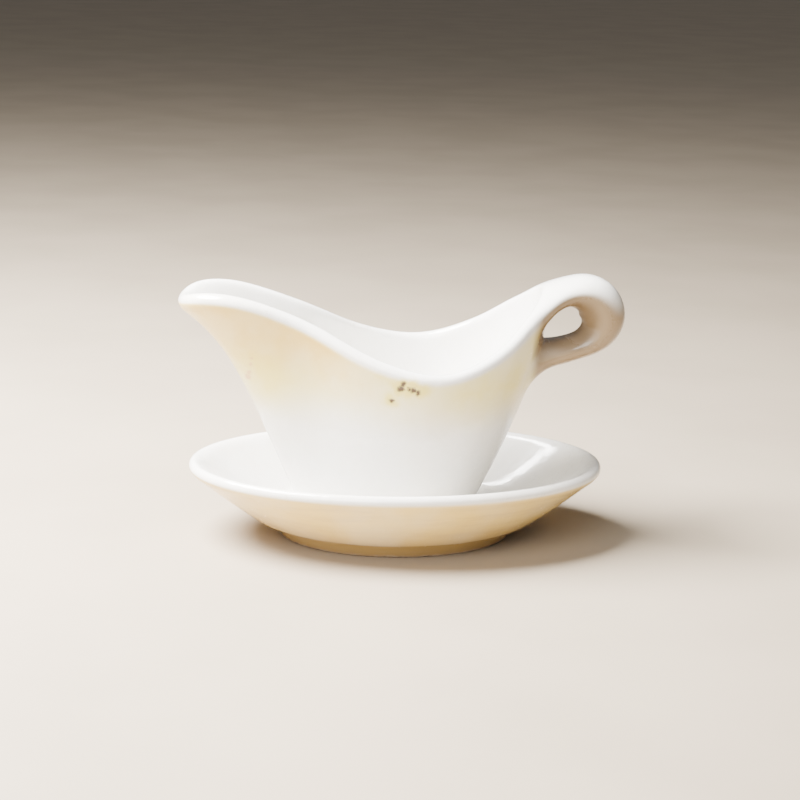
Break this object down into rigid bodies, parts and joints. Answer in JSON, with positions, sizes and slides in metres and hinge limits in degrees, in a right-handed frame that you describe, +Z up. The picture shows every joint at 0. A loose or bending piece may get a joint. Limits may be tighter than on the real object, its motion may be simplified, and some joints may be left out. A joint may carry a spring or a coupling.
{
  "type": "gravy boat",
  "caption": "Glazed china sauce boat with a long pouring lip and a loop handle, standing on its own oval dished stand.",
  "frame": {"origin": "centre of the overall length and width, on the surface the stand rests on", "axes": "+X from the pouring lip towards the handle, +Y across, +Z up"},
  "size_m": [0.1986, 0.1264, 0.1198],
  "materials": {
    "white_glaze": "gloss, warm white",
    "bare_foot": "worn and unglazed at the land"
  },
  "bodies": {
    "stand": {"stand_dish": "white_glaze", "stand_foot_ring": "bare_foot"},
    "boat": {"boat_bowl": "white_glaze", "boat_foot_ring": "bare_foot", "boat_handle": "white_glaze"}
  },
  "joints": [
    {"name": "boat_lift", "type": "slide", "parent": "stand", "child": "boat", "axis": [0, 0, 1], "range_m": [0, 0.06]}
  ]
}
